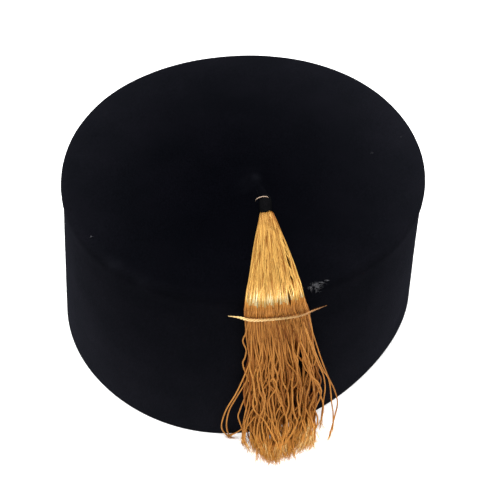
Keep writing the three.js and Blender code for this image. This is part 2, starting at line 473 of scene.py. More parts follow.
def mark_crown(mesh):
    wear_and_highlight = mesh.attributes.new("wear_and_highlight", "FLOAT", "POINT")
    painted_light = mesh.attributes.new("painted_light", "FLOAT", "POINT")
    for i, vert in enumerate(mesh.vertices):
        total = 0
        for mark in MARKS_AND_HIGHLIGHTS:
            away = vert.co - Vector((mark["x"], mark["y"], mark["z"]))
            total += mark["strength"] * math.exp(-away.length_squared / mark["reach"] ** 2)
        wear_and_highlight.data[i].value = min(1, total)
        painted_light.data[i].value = painted_light_at(vert.co)


crown_mesh = bpy.data.meshes.new("felt_crown")
crown_shell.to_mesh(crown_mesh)
crown_shell.free()
mark_crown(crown_mesh)
crown_mesh.transform(TO_FRAME)
print("marks on the felt", len(MARKS_AND_HIGHLIGHTS))

# %% [markdown]
# ## Black felt
#
# Wool felt is a mat of short fibres. Looked at straight it is nearly black, and along its
# edges the standing fibres catch light, which is what sheen does. The colour wanders
# between a blue and a neutral black, and turns grey in the worn places and in the painted
# highlight on the pucker. Painted light is mixed into it as well: painted shade makes it
# darkest around the tassel on the top, and painted sheen makes it paler towards the rim,
# the sides, the back and the foot. Two bumps make the nap: a fine one for the fibres and
# a broad one for the mat.

# %% Black felt
# The felt runs from FELT_DARK in the darkest painted shade to FELT_PALE in the palest painted sheen.
FELT_DARK = (0.0004, 0.00045, 0.0010)
FELT_PALE = (0.0098, 0.0101, 0.0132)
FELT_WORN_AND_LIT = (0.0098, 0.0104, 0.0138)


def felt_material():
    material, tree, shader = new_material(
        "black_felt",
        0.92,
        Specular_IOR_Level=0.0,
        Sheen_Weight=0.008,
        Sheen_Roughness=0.3,
        Sheen_Tint=(0.75, 0.78, 1.0, 1.0),
    )
    place = tree.nodes.new("ShaderNodeTexCoord").outputs["Object"]
    broad = add_noise(tree, place, 45, 4)
    fine = add_noise(tree, place, 2600, 2, 0.7)
    painted_light = tree.nodes.new("ShaderNodeAttribute")
    painted_light.attribute_name = "painted_light"
    wear_and_highlight = tree.nodes.new("ShaderNodeAttribute")
    wear_and_highlight.attribute_name = "wear_and_highlight"
    # The base colour follows the painted light attribute, from painted shade to painted sheen.
    nap_and_painted_light = add_ramp(tree, painted_light.outputs["Fac"], [(0.0, FELT_DARK), (1.0, FELT_PALE)])
    mottle = add_ramp(tree, broad, [(0.3, (0.86, 0.89, 0.90)), (0.7, (1.13, 1.11, 1.14))])
    nap_and_painted_light = add_mix(tree, 1.0, nap_and_painted_light, mottle, "MULTIPLY")
    fibres = add_ramp(tree, fine, [(0.35, (0.6, 0.6, 0.6)), (0.75, (1.5, 1.5, 1.5))])
    nap_and_painted_light = add_mix(tree, 1.0, nap_and_painted_light, fibres, "MULTIPLY")
    patchy = add_noise(tree, place, 180, 3, 0.55)
    rubbed_and_lit = tree.nodes.new("ShaderNodeMath")
    rubbed_and_lit.operation = "MULTIPLY"
    tree.links.new(wear_and_highlight.outputs["Fac"], rubbed_and_lit.inputs[0])
    spots = add_ramp(tree, patchy, [(0.3, (0.25, 0.25, 0.25)), (0.7, (1, 1, 1))])
    tree.links.new(spots, rubbed_and_lit.inputs[1])
    # Worn places, and the painted highlight on the pucker, turn the felt grey.
    colour = add_mix(tree, rubbed_and_lit.outputs[0], nap_and_painted_light, FELT_WORN_AND_LIT)
    tree.links.new(colour, shader.inputs["Base Color"])
    soft = add_bump(tree, shader, add_noise(tree, place, 320, 4, 0.6), 0.35, 0.0006)
    add_bump(tree, shader, fine, 0.5, 0.00025, soft)
    return material


black_felt = felt_material()
finish_piece("felt_crown", crown_mesh, [black_felt], ["crown"])

# %% [markdown]
# ## Tubes for thread
#
# Every yarn of the tassel and every thread is a thin tube along a route. A curve object
# with a round bevel makes hundreds of them at once, each with its own radius at each
# point. Its mesh keeps the rings in order, so the script can store how far along its yarn
# each vertex is and give each yarn its own shade.

# %% Tubes for thread
PHASE_SPREAD = 97.0
MAP_LENGTH = 10.0
KNOT_STEPS = 12


def thread_mesh(name, routes, widths, sides=8, tones=None):
    """One mesh of round tubes. Routes are lists of points in millimetres."""
    curve = bpy.data.curves.new(name, "CURVE")
    curve.dimensions = "3D"
    curve.bevel_depth = 1.0
    curve.bevel_resolution = (sides - 4) // 2
    for route, width in zip(routes, widths):
        spline = curve.splines.new("POLY")
        spline.points.add(len(route) - 1)
        flat = [value for point in route for value in (*point, 1.0)]
        spline.points.foreach_set("co", flat)
        spline.points.foreach_set("radius", list(width))
    holder = bpy.data.objects.new(name + "_route", curve)
    bpy.context.scene.collection.objects.link(holder)
    bpy.context.view_layer.update()
    mesh = bpy.data.meshes.new_from_object(
        holder.evaluated_get(bpy.context.evaluated_depsgraph_get())
    )
    mesh.name = name
    bpy.data.objects.remove(holder)
    bpy.data.curves.remove(curve)

    tone = []
    along = []
    for i, route in enumerate(routes):
        steps = np.linalg.norm(np.diff(np.array(route), axis=0), axis=1)
        lengths = np.concatenate([[0], np.cumsum(steps)])
        shade = np.broadcast_to(0.5 if tones is None else tones[i], len(route))
        along.append(np.repeat(lengths + shade[0] * PHASE_SPREAD, sides))
        tone.append(np.repeat(shade, sides))
    tone = np.concatenate(tone)
    along = np.concatenate(along)
    assert len(tone) == len(mesh.vertices), (len(tone), len(mesh.vertices))
    mesh.attributes.new("tone", "FLOAT", "POINT").data.foreach_set("value", tone)

    corners = np.zeros(len(mesh.loops), int)
    mesh.loops.foreach_get("vertex_index", corners)
    faces = corners.reshape(-1, 4)
    around = faces % sides
    seam = (around.max(1) - around.min(1)) > 1
    around = around.astype(float)
    around[seam] = np.where(around[seam] == 0, sides, around[seam])
    layer = mesh.uv_layers.active or mesh.uv_layers.new(name="UVMap")
    uv = np.stack([around.ravel() / sides, along[faces].ravel() / MAP_LENGTH], axis=1)
    layer.data.foreach_set("uv", uv.ravel())

    shell = bmesh.new()
    shell.from_mesh(mesh)
    open_edges = [edge for edge in shell.edges if edge.is_boundary]
    bmesh.ops.holes_fill(shell, edges=open_edges, sides=sides)
    bmesh.ops.recalc_face_normals(shell, faces=shell.faces)
    shell.to_mesh(mesh)
    shell.free()
    mesh.transform(TO_FRAME)
    return mesh


def smooth_route(points, gap=1.0):
    """A Catmull-Rom curve through the points, at even steps of about the gap."""
    knots = [Vector(point) for point in points]
    knots = [2 * knots[0] - knots[1], *knots, 2 * knots[-1] - knots[-2]]
    fine = []
    for before, start, stop, after in zip(knots, knots[1:], knots[2:], knots[3:]):
        for i in range(KNOT_STEPS):
            part = i / KNOT_STEPS
            fine.append(0.5 * (
                2 * start
                + (stop - before) * part
                + (2 * before - 5 * start + 4 * stop - after) * part * part
                + (3 * start - 3 * stop + after - before) * part * part * part
            ))
    fine.append(knots[-2])
    path = np.array(fine)
    run = np.concatenate([[0], np.cumsum(np.linalg.norm(np.diff(path, axis=0), axis=1))])
    count = max(3, round(run[-1] / gap) + 1)
    even = np.linspace(0, run[-1], count)
    return np.stack([np.interp(even, run, path[:, k]) for k in range(3)], axis=1), even


# %% [markdown]
# ## Form of the tassel
#
# The yarns leave a tight neck, lie over the top, bend at the rim and hang down the wall,
# where they spread and loosen until their cut ends rest on the table. The table gives the
# form that they fill, one row for each section. A yarn has its own share of the width and
# of the depth, and stays near it all the way down, which is how real yarns run in a tassel.

# %% Form of the tassel
LIFT = 0.4
FORM = [
    {"y": -41.2, "z": HEIGHT + LIFT + 0.8, "lean": 0, "left": 13.0, "right": 19.1, "thick": 4.0, "wrap": 0},
    {"y": -46, "z": HEIGHT + LIFT, "lean": 0, "left": 12.1, "right": 20.8, "thick": 3.8, "wrap": 0},
    {"y": -52, "z": HEIGHT + LIFT, "lean": 0, "left": 11.1, "right": 22.4, "thick": 3.4, "wrap": 0.1},
    {"y": -61, "z": HEIGHT + LIFT, "lean": 0, "left": 9.8, "right": 24.7, "thick": 3.0, "wrap": 0.3},
    {"y": -71, "z": HEIGHT + LIFT, "lean": 0, "left": 8.4, "right": 27.0, "thick": 2.8, "wrap": 0.6},
    {"y": -80, "z": HEIGHT + LIFT, "lean": 3, "left": 7.2, "right": 28.8, "thick": 2.6, "wrap": 0.9},
    {"y": -84.2, "z": HEIGHT + 0.5, "lean": 7, "left": 6.5, "right": 29.8, "thick": 2.4, "wrap": 1},
    {"y": -86.7, "z": HEIGHT - 0.3, "lean": 13, "left": 6.2, "right": 30.3, "thick": 2.7, "wrap": 1},
    {"y": -88.7, "z": HEIGHT - 1.5, "lean": 19, "left": 5.9, "right": 30.8, "thick": 3.4, "wrap": 1},
    {"y": -89.3, "z": HEIGHT - 4.2, "lean": 31, "left": 5.7, "right": 31.2, "thick": 5.6, "wrap": 1},
    {"y": -88.9, "z": HEIGHT - 4.3, "lean": 68, "left": 5.6, "right": 31.5, "thick": 5.0, "wrap": 1},
    {"off": 0.6, "z": HEIGHT - 7.0, "lean": 88, "left": 5.4, "right": 32.0, "thick": 4.1, "wrap": 1},
    {"off": 0.5, "z": 80, "lean": 90, "left": 5.7, "right": 33.6, "thick": 3.3, "wrap": 1},
    {"off": 0.8, "z": 62, "lean": 90, "left": 6.2, "right": 36.2, "thick": 4.0, "wrap": 1},
    {"off": 1.2, "z": 42, "lean": 90, "left": 6.4, "right": 38.0, "thick": 5.2, "wrap": 1},
    {"off": 1.6, "z": 24, "lean": 88, "left": 5.6, "right": 39.0, "thick": 6.2, "wrap": 1},
    {"off": 2.0, "z": 12, "lean": 78, "left": 6.2, "right": 39.0, "thick": 7.2, "wrap": 1},
    {"y": -98.5, "z": 3.8, "lean": 50, "left": 7.0, "right": 38.6, "thick": 6.5, "wrap": 0.9},
    {"y": -102.5, "z": 0.7, "lean": 18, "left": 8.4, "right": 36.8, "thick": 4.6, "wrap": 0.7},
    {"y": -108, "z": 0.4, "lean": 0, "left": 10.4, "right": 33.5, "thick": 2.6, "wrap": 0.5},
    {"y": -113, "z": 0.4, "lean": 0, "left": 12.5, "right": 29, "thick": 1.4, "wrap": 0.3},
]


def form_point(row, side, depth, lift=0.0):
    """side runs from -1 to 1 across a section, and depth from 0 at the felt to 1."""
    middle = (row["left"] + row["right"]) / 2
    x = middle + side * (row["right"] - row["left"]) / 2
    face = row["y"] if "y" in row else wall_front(middle, row["z"]) - row["off"]
    face += row["wrap"] * (wall_front(x, row["z"]) - wall_front(middle, row["z"]))
    out = depth * row["thick"] + lift
    lean = math.radians(row["lean"])
    return Vector((x, face - out * math.sin(lean), row["z"] + out * math.cos(lean)))


# %% [markdown]
# ## How a yarn wanders
#
# Over the top and a little way down the wall the yarns are pulled straight and lie side
# by side like satin. Below that each one is crimped and goes its own way. An uneven noise
# moves every yarn alone, and slow waves move the whole lock that it clings to. The random
# numbers start from a fixed seed, so the tassel is the same every time.

# %% How a yarn wanders
SIDEWAYS = [(30, 3.4), (13, 1.3), (6, 0.25)]
OUTWARD = [(22, 1.6), (9, 0.4)]
rng = random.Random(11)


def random_waves(rows):
    """Slow waves from (wavelength, size) rows, each with its own strength and phase."""
    waves = []
    for length, size in rows:
        waves.append((
            length * rng.uniform(0.75, 1.3),
            size * rng.uniform(0.3, 1.0),
            rng.uniform(0, 2 * math.pi),
        ))
    return waves


def wave_at(waves, run):
    return sum(size * math.sin(2 * math.pi * run / length + phase) for length, size, phase in waves)


def wander(seed, run, rows):
    """An uneven drift: long easy runs with a bend here and there. Rows are (length, size)."""
    return sum(2 * size * noise.noise(Vector((seed, run / length, size))) for length, size in rows)


# %% [markdown]
# ## Slits between the yarns
#
# Chance alone fills a tassel evenly, but a real one shows a few dark gaps, so a table
# opens them one by one. Each row says which share of the width it parts, between which two
# places along the yarns, in millimetres, how wide it opens and how sharp its sides are.
# A yarn keeps to the side that it is on halfway along a slit, so hardly any crosses it.

# %% Slits between the yarns
SLIT_REACH = 1.7
SLIT_ROUNDNESS = 0.7
SLIT_AT_FELT = 0.75
SLITS = [
    {"side": 0.88, "start": 13, "stop": 22, "half_width": 0.050, "edge": 0.004},
    {"side": 0.84, "start": 19, "stop": 28, "half_width": 0.050, "edge": 0.004},
    {"side": 0.79, "start": 25, "stop": 34, "half_width": 0.055, "edge": 0.004},
    {"side": 0.74, "start": 32, "stop": 41, "half_width": 0.060, "edge": 0.004},
    {"side": 0.72, "start": 38, "stop": 47, "half_width": 0.060, "edge": 0.004},
    {"side": 0.60, "start": 43, "stop": 51, "half_width": 0.055, "edge": 0.004},
    {"side": 0.50, "start": 46, "stop": 54, "half_width": 0.045, "edge": 0.004},
    {"side": -0.22, "start": 33, "stop": 42, "half_width": 0.030, "edge": 0.010},
    {"side": 0.47, "start": 71, "stop": 92, "half_width": 0.060, "edge": 0.010},
    {"side": 0.57, "start": 80, "stop": 110, "half_width": 0.080, "edge": 0.014},
    {"side": 0.70, "start": 92, "stop": 120, "half_width": 0.070, "edge": 0.014},
    {"side": 0.82, "start": 102, "stop": 126, "half_width": 0.070, "edge": 0.014},
    {"side": 0.40, "start": 108, "stop": 134, "half_width": 0.080, "edge": 0.014},
    {"side": 0.56, "start": 114, "stop": 132, "half_width": 0.055, "edge": 0.014},
    {"side": 0.92, "start": 84, "stop": 116, "half_width": 0.050, "edge": 0.014},
    {"side": 0.10, "start": 106, "stop": 126, "half_width": 0.035, "edge": 0.014},
    {"side": -0.66, "start": 100, "stop": 126, "half_width": 0.045, "edge": 0.014},
]


def parted(places, run, depth=1.0):
    """Opens the slits between yarns: each yarn keeps to the side it is on halfway along one."""
    moved = np.array(places)
    for slit in SLITS:
        middle = np.interp((slit["start"] + slit["stop"]) / 2, run, places)
        push = slit["half_width"] * math.tanh((middle - slit["side"]) / slit["edge"])
        part = np.clip((run - slit["start"]) / (slit["stop"] - slit["start"]), 0, 1)
        opened = push * mix(SLIT_AT_FELT, 1, depth) * np.sin(math.pi * part) ** SLIT_ROUNDNESS
        away = (np.array(places) - slit["side"]) / (SLIT_REACH * slit["half_width"])
        moved += opened * np.exp(-(away ** 2))
    return moved


print("slits", len(SLITS))

# %% [markdown]
# ## Yarns
#
# The yarns lie in layers from the felt outwards, and each joins the nearest lock of its
# layer. It strays more the further it is from the felt, and its lock draws in to a tuft
# at the end. Yarns are kept out of the felt and the table, and each has its own shade,
# darkened by painted shade deep in the tassel and beside the neck, lightened by a painted
# highlight at the rim, and paler a little below the rim and at its cut end.

# %% Yarns
YARNS_IN_LAYER = [42, 40, 36, 30, 25]
LOCKS_IN_LAYER = [15, 13, 11, 9, 8]
LAYERS = len(YARNS_IN_LAYER)
STRAIGHT_RUN = 72.0
LOOSE_RUN = 38.0
FOLD_RUN = 50.0
TUFT_RUN = 28.0
TUFT_CLING = 0.4
TUFT_NOTCH = 0.024
LONGEST_SIDE = -0.35
FULL_LENGTH = 0.992
SHORTER_AT_SIDES = 0.05
THINNER_AT_SIDES = 0.35
YARN_SIDES = 6
YARN_THIN = 0.22
YARN_FULL = 0.41
GAP_TO_FELT = 0.15
GAP_TO_TABLE = 0.05
LYING_BELOW = 10.0
LYING_LIFT = 0.6
FULL_TONE = 0.8
TONE_OUTSIDE = 0.66
TONE_SPREAD = (-0.1, 0.27)
PAINTED_HIGHLIGHT_AT_RIM = 0.32
PALER_BELOW_RIM = 0.16
PAINTED_SHADE_AT_NECK = 0.26
PALER_AT_TIP = 0.3


def keep_clear(point, radius):
    """Moves a point out of the felt and above the table."""
    x, y, z = point
    if z > HEIGHT - RIM_ROUNDING and y > wall_front(x, HEIGHT - RIM_ROUNDING) + RIM_ROUNDING:
        z = max(z, HEIGHT + radius)
    elif z < HEIGHT - RIM_ROUNDING:
        y = min(y, wall_front(x, z) - radius - GAP_TO_FELT)
    return Vector((x, y, max(z, radius + GAP_TO_TABLE)))


def make_lock(number, locks):
    """A lock is a few yarns that cling together: they share slow waves and draw in."""
    return {
        "side": -1 + 2 * (number + 0.5 + rng.uniform(-0.3, 0.3)) / locks,
        "sideways": random_waves([(80, 2.0), (38, 1.1)]),
        "outward": random_waves([(48, 1.2)]),
        "draw": random_waves([(60, 0.3), (33, 0.2)]),
        "length": rng.uniform(-0.02, 0.004),
    }


def full_length(side):
    """The tassel is longest a little left of its middle, and its ends stand in tufts."""
    notch = 0.5 + 0.5 * math.sin(17 * side + 4 * math.sin(3 * side))
    shorter = SHORTER_AT_SIDES * ease(abs(side - LONGEST_SIDE) / 1.1)
    return FULL_LENGTH - shorter - TUFT_NOTCH * notch


def loose_at(run, looseness):
    """A yarn is tight to a little below the stay thread, and looser and looser from there."""
    return ease((run - STRAIGHT_RUN) / LOOSE_RUN) * looseness


def rounded(side):
    """The tassel is a little thinner towards its two sides."""
    return 1 - THINNER_AT_SIDES * abs(side) ** 3


def make_yarn(side, depth, lock):
    route, run = smooth_route([form_point(row, side, depth) for row in FORM])
    half_widths = np.interp(run, form_run, form_half_width)
    length = run[-1] * (full_length(side) + lock["length"] + rng.uniform(-0.012, 0.008))
    looseness = mix(0.4, 1.2, depth)
    cling = mix(0.15, 0.7, depth)
    seed = rng.uniform(0, 1000)
    satin = random_waves([(45, 0.02), (19, 0.01)])
    places = []
    for at, half_width in zip(run, half_widths):
        loose = loose_at(at, looseness)
        tufted = TUFT_CLING * ease((at - length + TUFT_RUN) / TUFT_RUN)
        drawn = (lock["side"] - side) * (cling + tufted + wave_at(lock["draw"], at)) * min(1, loose)
        strayed = (wander(seed, at, SIDEWAYS) + wave_at(lock["sideways"], at)) * loose
        places.append(side + wave_at(satin, at) + drawn + strayed / half_width)
    points = []
    widths = []
    for point, at, half_width, place in zip(route, run, half_widths, parted(places, run, depth)):
        if at > length:
            break
        full = ease(at / 60)
        radius = mix(YARN_THIN, YARN_FULL, full) * (1 + 0.05 * math.sin(at * 1.7 + side * 9))
        moved = Vector(point)
        moved.x += (place - side) * half_width
        outward = wander(-seed, at, OUTWARD) + wave_at(lock["outward"], at)
        lift = outward * loose_at(at, looseness)
        if moved.z > LYING_BELOW:
            moved.y -= lift
        else:
            moved.z += abs(lift) * LYING_LIFT
        points.append(keep_clear(moved, radius))
        widths.append(radius)
    return points, widths


def painted_light_along(run):
    """Painted shade darkens the yarns beside the neck, a painted highlight pales them at the rim, and they
    are paler a little below it.
    """
    at_rim = PAINTED_HIGHLIGHT_AT_RIM * math.exp(-(((run - FOLD_RUN - 1.2) / 3.6) ** 2))
    below_rim = PALER_BELOW_RIM * ease((run - FOLD_RUN) / 6) * (1 - ease((run - 66) / 16))
    return at_rim + below_rim - PAINTED_SHADE_AT_NECK * (1 - ease(run / 14))


def yarn_layer(layer):
    routes = []
    widths = []
    tones = []
    yarns = YARNS_IN_LAYER[layer]
    locks = [make_lock(number, LOCKS_IN_LAYER[layer]) for number in range(LOCKS_IN_LAYER[layer])]
    for i in range(yarns):
        side = -1 + 2 * (i + 0.5 + rng.uniform(-0.45, 0.45)) / yarns
        depth = (layer + 0.5 + rng.uniform(-0.4, 0.4)) / LAYERS
        lock = min(locks, key=lambda one: abs(one["side"] - side))
        points, radii = make_yarn(side, depth * rounded(side), lock)
        routes.append(points)
        widths.append(radii)
        # Painted shade: the deeper a yarn lies in the tassel, the darker its tone.
        tone = min(FULL_TONE, depth ** 1.7 * TONE_OUTSIDE + rng.uniform(*TONE_SPREAD))
        last = len(points) - 1
        tip = [PALER_AT_TIP * ease(6 * at / last - 5) for at in range(last + 1)]
        tones.append([min(1, max(0, tone + painted_light_along(at) + tip[at])) for at in range(last + 1)])
    return routes, widths, tones


middle_route, form_run = smooth_route([form_point(row, 0, 0.5) for row in FORM])
edge_route, edge_run = smooth_route([form_point(row, 1, 0.5) for row in FORM])
edge_x = np.interp(form_run / form_run[-1], edge_run / edge_run[-1], edge_route[:, 0])
form_half_width = edge_x - middle_route[:, 0]
print("yarns", sum(YARNS_IN_LAYER), "in", LAYERS, "layers, up to", round(form_run[-1]), "mm long")

# %% [markdown]
# ## Gold rayon
#
# Rayon yarn shines like silk: a warm gold body with a bright streak where it turns
# towards the light. Each yarn has its own shade from the tone attribute, which also carries
# the painted shade and highlights along it. Fine streaks along the yarn, made from its own
# map, stand for its fibres, and shift both the colour and a small bump. The tight yarns on
# the top are satin, and their finish is a lit copy of the gold, paler and yellower with
# painted light, while the brown gold that hangs is the shaded copy; each face takes one of
# the two, split at the fold.

# %% Gold rayon
HANGING_GOLD = [(0.0, (0.175, 0.039, 0.001)), (1.0, (0.66, 0.295, 0.066))]
# The top's gold is painted lit, paler and yellower than the hanging gold; its palest stop is the painted
# highlight at the rim.
TOP_GOLD_LIT = [(0.0, (0.25, 0.082, 0.003)), (0.8, (0.71, 0.43, 0.108)), (1.0, (0.77, 0.68, 0.41))]
FRAYED_GOLD = [(0.0, (0.34, 0.11, 0.006)), (0.8, (0.78, 0.38, 0.08)), (1.0, (0.95, 0.70, 0.32))]
SATIN_EDGE = HEIGHT - 0.1


def add_streaks(tree, around, along, detail=2.0):
    """Noise drawn out along a thread: many cells round it and few along it."""
    uv = tree.nodes.new("ShaderNodeTexCoord").outputs["UV"]
    stretched = add_node(tree, "ShaderNodeMapping", Scale=(around, along, 1))
    tree.links.new(uv, stretched.inputs["Vector"])
    return add_noise(tree, stretched.outputs["Vector"], 1.0, detail)


def thread_material(name, stops, roughness, specular=0.4, faint=0.72, **sockets):
    """A thread whose shade follows its tone, with fine streaks along it."""
    material, tree, shader = new_material(name, roughness, Specular_IOR_Level=specular, **sockets)
    tone = tree.nodes.new("ShaderNodeAttribute")
    tone.attribute_name = "tone"
    colour = add_ramp(tree, tone.outputs["Fac"], stops)
    streaks = add_streaks(tree, around=5, along=1.4)
    darker = (faint, faint * 0.94, faint * 0.84)
    shade = add_ramp(tree, streaks, [(0.3, darker), (0.7, (1.12, 1.12, 1.12))])
    colour = add_mix(tree, 1.0, colour, shade, "MULTIPLY")
    tree.links.new(colour, shader.inputs["Base Color"])
    add_bump(tree, shader, streaks, 0.2, 0.0001)
    return material


def satin_on_top(mesh):
    """Faces that lie on the top take the second material, and those that hang the first."""
    centres = np.zeros(len(mesh.polygons) * 3)
    mesh.polygons.foreach_get("center", centres)
    x, _, z = centres.reshape(-1, 3).T / MM
    edge = SATIN_EDGE + 0.5 * np.sin(x * 1.9) + 0.3 * np.sin(x * 5.3 + 1)
    mesh.polygons.foreach_set("material_index", (z > edge).astype(np.int32))


# The finish for the top is a lit copy of the hanging gold, its paler and yellower colour painted light.
gold_rayon = thread_material("gold_rayon", HANGING_GOLD, 0.6, 0.08)
satin_rayon_lit = thread_material("satin_rayon_lit", TOP_GOLD_LIT, 0.42, 0.3, 0.68, Metallic=0.3)
frayed_rayon = thread_material("frayed_rayon", FRAYED_GOLD, 0.8, 0.1)

yarn_tips = []
for layer in range(LAYERS):
    yarn_routes, yarn_widths, yarn_tones = yarn_layer(layer)
    yarn_mesh = thread_mesh(f"yarns_{layer + 1}", yarn_routes, yarn_widths, YARN_SIDES, yarn_tones)
    satin_on_top(yarn_mesh)
    replaced = ["tassel_skirt"] if layer == 0 else []
    finish_piece(f"yarns_{layer + 1}", yarn_mesh, [gold_rayon, satin_rayon_lit], replaced)
    for route, tone in zip(yarn_routes, yarn_tones):
        yarn_tips.append((route[-1], route[-1] - route[-3], tone[-1]))

# %% [markdown]
# ## Satin strands
#
# On the top the yarns are pulled so tight that their fibres merge into one satin face. A
# thin layer of much finer strands lies over them there. Each is short, starts anywhere,
# drifts a little across its neighbours and has its own shade, which gives the flecks.

# %% Satin strands
STRANDS = 1200
STRAND_REACH = 80.0
STRAND_SECTIONS = 15
STRAND_LENGTHS = (7, 26)
STRAND_RADII = (0.12, 0.22)
STRAND_TONE = (0.47, 0.3)
STRAND_DRIFT = 0.06
STRAND_EDGE = 0.98
STRAND_SHORTEST = 5
STRAND_JUMP = 0.4
DRIFT_RUN = 20.0


def make_strand():
    side = rng.uniform(-0.97, 0.97)
    drift = min(STRAND_EDGE - side, max(-STRAND_EDGE - side, rng.gauss(0, STRAND_DRIFT)))
    start = rng.uniform(-8, STRAND_REACH - 8)
    stop = min(STRAND_REACH + rng.uniform(-8, 3), start + rng.uniform(*STRAND_LENGTHS))
    lift = rng.uniform(0.05, 0.35)
    sections = FORM[:STRAND_SECTIONS]
    route, run = smooth_route([form_point(row, side, rounded(side), lift) for row in sections])
    shade = min(FULL_TONE, max(0, rng.gauss(*STRAND_TONE)))
    places = [side + drift * min(1, max(0, at - start) / DRIFT_RUN) for at in run]
    points = []
    tones = []
    for point, at, place in zip(route, run, parted(places, run)):
        if start <= at <= stop:
            moved = Vector(point)
            half_width = np.interp(at, form_run, form_half_width)
            moved.x += (place - side) * half_width
            points.append(moved)
            tones.append(min(1, max(0, shade + painted_light_along(at))))
    return points, tones


def runs_smoothly(route):
    """A strand that is very short, or that jumps where a slit opens, is left out."""
    steps = [abs(after.x - before.x) for before, after in zip(route, route[1:])]
    return len(route) > STRAND_SHORTEST and max(steps) < STRAND_JUMP


strands = [strand for strand in (make_strand() for _ in range(STRANDS)) if runs_smoothly(strand[0])]
strand_routes = [route for route, _ in strands]
strand_tones = [tones for _, tones in strands]
strand_widths = []
for route in strand_routes:
    thickest = rng.uniform(*STRAND_RADII)
    last = len(route) - 1
    tapers = [0.3 + 0.7 * math.sin(math.pi * i / last) for i in range(last + 1)]
    strand_widths.append([thickest * taper for taper in tapers])
strand_mesh = thread_mesh("satin_strands", strand_routes, strand_widths, 4, strand_tones)
satin_on_top(strand_mesh)
finish_piece("satin_strands", strand_mesh, [gold_rayon, satin_rayon_lit])

# %% [markdown]
# ## Stray yarns
#
# A few yarns escape at both sides and hang in wide loops against the wall. Their shape
# can't come from a rule, so each is a short route given as a list: x, height and how far it
# stands off the felt.

# %% Stray yarns
STRAY_RADIUS = YARN_FULL * 0.88
STRAYS = [
    [
        (9, 72, 2), (7.5, 60, 3), (5.8, 52, 4), (0.6, 36, 4),
        (-4.4, 24, 4), (-7, 13, 4), (-6.4, 6, 3), (-3.9, 1, 2),
    ],
    [
        (9, 66, 2), (7, 54, 3), (5.6, 45, 4), (1.1, 34, 4),
        (-2.9, 24, 4), (-4.6, 14, 4), (-4.4, 6, 3), (-3.4, 1, 2),
    ],
    [(10, 56, 3), (8.5, 48, 4), (4.1, 31, 4), (2.1, 25, 5), (1.1, 20, 5), (2.1, 14, 5), (4.1, 6, 6)],
    [(9, 20, 6), (5.1, 13, 6), (2.6, 10, 5), (-0.4, 6, 4), (-3.4, 2, 2)],
    [(9, 46, 4), (7, 38, 5), (5.6, 29, 5), (4.1, 19, 5), (3.1, 10, 5), (2.6, 1, 6)],
    [
        (7.5, 88, 2), (6.6, 81, 3), (5.6, 75, 3), (4.2, 70, 3),
        (5.6, 64, 3), (5, 59, 3), (4, 54, 3), (7, 42, 4),
    ],
    [
        (32, 82, 3), (34.5, 72, 3), (36.8, 62, 3), (40.6, 46, 4), (44.6, 30, 4),
        (48, 19, 5), (50.1, 9, 7), (49, 2, 9), (45.5, 0.5, 18),
    ],
    [
        (32, 74, 4), (35, 62, 4), (38, 51, 4), (41.6, 38, 4),
        (45.1, 27, 4), (47.1, 10, 6), (48.1, 2.5, 8), (47.6, 0.5, 14),
    ],
    [(31, 78, 4), (33.5, 66, 4), (38.6, 47, 5), (41.6, 36, 5), (43.1, 25, 5), (42.6, 15, 6), (41.6, 3, 9)],
    [(30, 66, 5), (34, 52, 5), (37.6, 36, 6), (41, 22, 7), (42.6, 13, 8), (41.8, 4, 9)],
]


def stray_route(row):
    return smooth_route([(x, wall_front(x, z) - off, z) for x, z, off in row])[0]


stray_routes = [[keep_clear(point, YARN_FULL) for point in stray_route(row)] for row in STRAYS]
stray_widths = [[STRAY_RADIUS] * len(route) for route in stray_routes]
stray_tones = [rng.uniform(0.55, 1) for _ in STRAYS]
stray_mesh = thread_mesh("stray_yarns", stray_routes, stray_widths, YARN_SIDES, stray_tones)
finish_piece("stray_yarns", stray_mesh, [gold_rayon])
yarn_tips += [(route[-1], route[-1] - route[-3], 0.5) for route in stray_routes]

# %% [markdown]
# ## Frayed ends
#
# Each cut end opens into a little brush of fibres. The fibres start inside the yarn, keep
# its direction and spread a little, and they sink to the table as they go. A few pale
# wisps have come away and lie beside the tassel: each row of their table is a place, as x
# and y, and a heading in degrees. Towards the right the fibres are paler with painted
# glints.

# %% Frayed ends
FIBRES_AT_TIP = 9
FIBRE_RADIUS = 0.11
FIBRE_WIDTHS = [FIBRE_RADIUS, FIBRE_RADIUS, 0.09, 0.06, 0.03]
FIBRE_SPREAD = 0.55
FIBRE_BOW = 0.5
FIBRE_SINK = 1.2
FIBRE_GAP = 0.3
FIBRES_IN_WISP = 3
WISP_HEIGHT = 0.4
PAINTED_GLINT = 0.26
GLINT_FROM_X = 27.0
GLINT_BAND = 8.0
WISPS = [
    (3.6, -99.0, -25),
    (6.4, -103.5, -12),
    (8.6, -106.5, -30),
    (40.2, -97.0, 15),
    (43.0, -95.0, 30),
    (37.4, -102.0, 8),
]


def fray(tip, direction):
    heading = direction.normalized()
    reach = rng.uniform(2.0, 5.8)
    back = rng.uniform(1.5, 5.5)
    spread = Vector((rng.gauss(0, 0.42), rng.gauss(0, 0.3), rng.gauss(0, 0.2)))
    points = []
    steps = len(FIBRE_WIDTHS) - 1
    for step in range(steps + 1):
        part = step / steps
        along = (reach + back) * part - back
        point = tip + heading * along + spread * ((reach + back) * part * part * FIBRE_SPREAD)
        point.y -= FIBRE_BOW * math.sin(math.pi * part)
        point.z = max(point.z - FIBRE_SINK * part * part, FIBRE_RADIUS + GAP_TO_TABLE)
        if point.z < HEIGHT:
            point.y = min(point.y, wall_front(point.x, point.z) - FIBRE_GAP)
        points.append(point)
    return points


